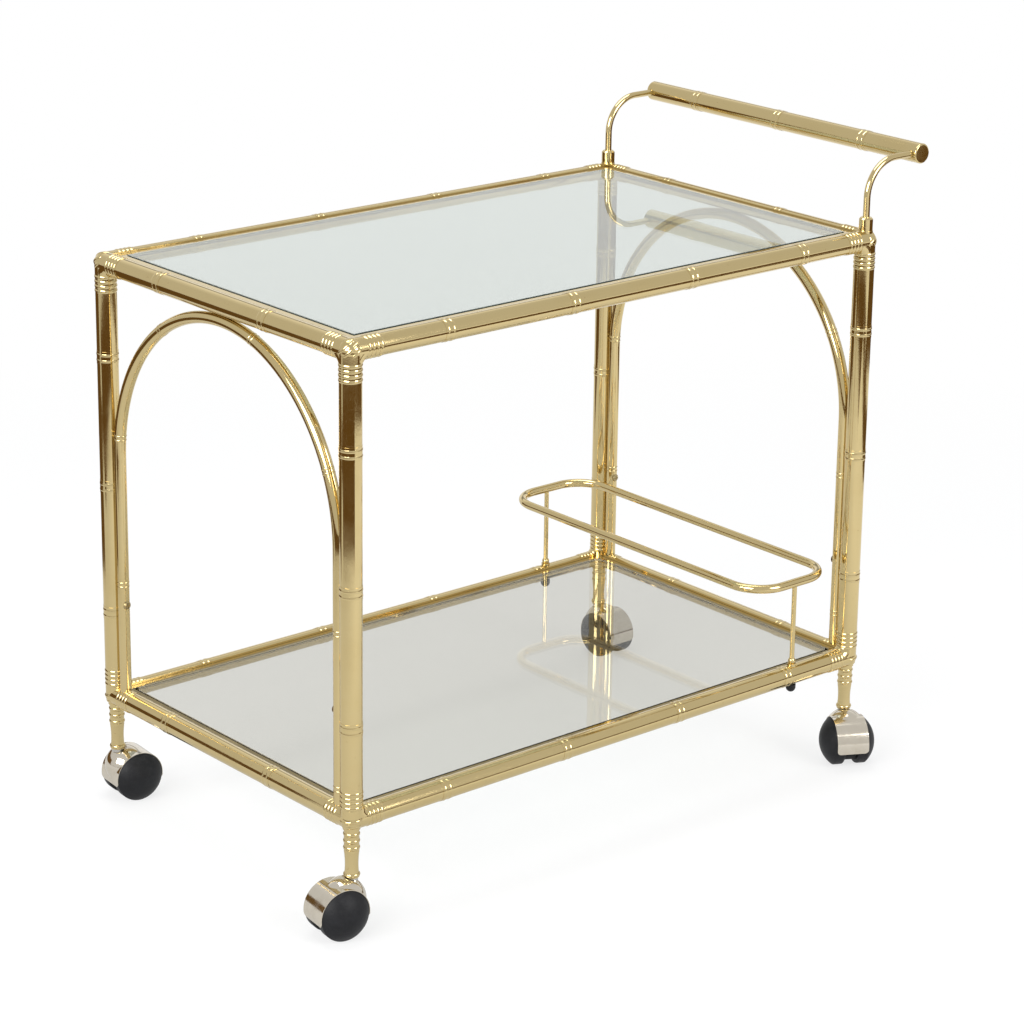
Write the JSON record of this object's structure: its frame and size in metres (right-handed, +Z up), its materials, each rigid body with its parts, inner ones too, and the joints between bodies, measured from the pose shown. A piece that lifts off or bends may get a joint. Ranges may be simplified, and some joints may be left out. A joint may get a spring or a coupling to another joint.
{
  "type": "bar cart",
  "caption": "Brass faux-bamboo bar cart with glass shelves, end arches, push handle, bottle rail and hooded twin-wheel swivel casters.",
  "frame": {"origin": "on the floor, under the middle of the whole cart's plan, handle and casters included", "axes": "+X towards the push handle, +Y towards the back long side, +Z up"},
  "size_m": [0.7516, 0.4436, 0.6305],
  "materials": {
    "brass": "polished",
    "glass": "clear",
    "nickel": "polished",
    "steel": "turned",
    "screw_steel": "plated",
    "black_wheel": "satin, lightly worn",
    "black_core": "moulded",
    "black_nut": "gloss black"
  },
  "bodies": {
    "frame": {"leg_front_left": "brass", "leg_front_right": "brass", "leg_back_right": "brass", "leg_back_left": "brass", "foot_front_left": "brass", "foot_front_right": "brass", "foot_back_right": "brass", "foot_back_left": "brass", "low_corner_front_left": "brass", "low_corner_front_right": "brass", "low_corner_back_right": "brass", "low_corner_back_left": "brass", "top_corner_front_left": "brass", "top_corner_front_right": "brass", "top_corner_back_right": "brass", "top_corner_back_left": "brass", "low_rail_front": "brass", "low_rail_right": "brass", "low_rail_back": "brass", "low_rail_left": "brass", "top_rail_front": "brass", "top_rail_right": "brass", "top_rail_back": "brass", "top_rail_left": "brass", "arch_left": "brass", "arch_right": "brass", "handle_tube": "brass", "handle_caps": "brass", "handle_arms": "brass", "handle_ferrules": "brass", "bottle_rail": "brass", "bottle_rail_posts": "brass", "arch_screws": "screw_steel", "bottle_rail_nuts": "black_nut", "low_shelf": "glass", "top_shelf": "glass"},
    "caster_front_left": {"caster_front_left_hood": "nickel", "caster_front_left_core": "black_core", "caster_front_left_stem": "steel", "caster_front_left_axle": "steel"},
    "caster_front_left_wheel_a": {"caster_front_left_wheel_a": "black_wheel"},
    "caster_front_left_wheel_b": {"caster_front_left_wheel_b": "black_wheel"},
    "caster_front_right": {"caster_front_right_hood": "nickel", "caster_front_right_core": "black_core", "caster_front_right_stem": "steel", "caster_front_right_axle": "steel"},
    "caster_front_right_wheel_a": {"caster_front_right_wheel_a": "black_wheel"},
    "caster_front_right_wheel_b": {"caster_front_right_wheel_b": "black_wheel"},
    "caster_back_right": {"caster_back_right_hood": "nickel", "caster_back_right_core": "black_core", "caster_back_right_stem": "steel", "caster_back_right_axle": "steel"},
    "caster_back_right_wheel_a": {"caster_back_right_wheel_a": "black_wheel"},
    "caster_back_right_wheel_b": {"caster_back_right_wheel_b": "black_wheel"},
    "caster_back_left": {"caster_back_left_hood": "nickel", "caster_back_left_core": "black_core", "caster_back_left_stem": "steel", "caster_back_left_axle": "steel"},
    "caster_back_left_wheel_a": {"caster_back_left_wheel_a": "black_wheel"},
    "caster_back_left_wheel_b": {"caster_back_left_wheel_b": "black_wheel"}
  },
  "joints": [
    {"name": "front_left_swivel", "type": "hinge", "parent": "frame", "child": "caster_front_left", "pos_m": [-0.33366, -0.1787, 0.07], "axis": [0, 0, 1], "continuous": true},
    {"name": "front_left_wheel_a_spin", "type": "hinge", "parent": "caster_front_left", "child": "caster_front_left_wheel_a", "pos_m": [-0.34871, -0.17653, 0.0241], "axis": [-0.1426, -0.9898, 0], "continuous": true},
    {"name": "front_left_wheel_b_spin", "type": "hinge", "parent": "caster_front_left", "child": "caster_front_left_wheel_b", "pos_m": [-0.34871, -0.17653, 0.0241], "axis": [-0.1426, -0.9898, 0], "continuous": true},
    {"name": "front_right_swivel", "type": "hinge", "parent": "frame", "child": "caster_front_right", "pos_m": [0.29634, -0.1787, 0.07], "axis": [0, 0, 1], "continuous": true},
    {"name": "front_right_wheel_a_spin", "type": "hinge", "parent": "caster_front_right", "child": "caster_front_right_wheel_a", "pos_m": [0.2889, -0.19196, 0.0241], "axis": [0.8721, -0.4894, 0], "continuous": true},
    {"name": "front_right_wheel_b_spin", "type": "hinge", "parent": "caster_front_right", "child": "caster_front_right_wheel_b", "pos_m": [0.2889, -0.19196, 0.0241], "axis": [0.8721, -0.4894, 0], "continuous": true},
    {"name": "back_right_swivel", "type": "hinge", "parent": "frame", "child": "caster_back_right", "pos_m": [0.29634, 0.1953, 0.07], "axis": [0, 0, 1], "continuous": true},
    {"name": "back_right_wheel_a_spin", "type": "hinge", "parent": "caster_back_right", "child": "caster_back_right_wheel_a", "pos_m": [0.29631, 0.1801, 0.0241], "axis": [1, -0.0017, 0], "continuous": true},
    {"name": "back_right_wheel_b_spin", "type": "hinge", "parent": "caster_back_right", "child": "caster_back_right_wheel_b", "pos_m": [0.29631, 0.1801, 0.0241], "axis": [1, -0.0017, 0], "continuous": true},
    {"name": "back_left_swivel", "type": "hinge", "parent": "frame", "child": "caster_back_left", "pos_m": [-0.33366, 0.1953, 0.07], "axis": [0, 0, 1], "continuous": true},
    {"name": "back_left_wheel_a_spin", "type": "hinge", "parent": "caster_back_left", "child": "caster_back_left_wheel_a", "pos_m": [-0.31854, 0.19384, 0.0241], "axis": [0.0958, 0.9954, 0], "continuous": true},
    {"name": "back_left_wheel_b_spin", "type": "hinge", "parent": "caster_back_left", "child": "caster_back_left_wheel_b", "pos_m": [-0.31854, 0.19384, 0.0241], "axis": [0.0958, 0.9954, 0], "continuous": true}
  ]
}
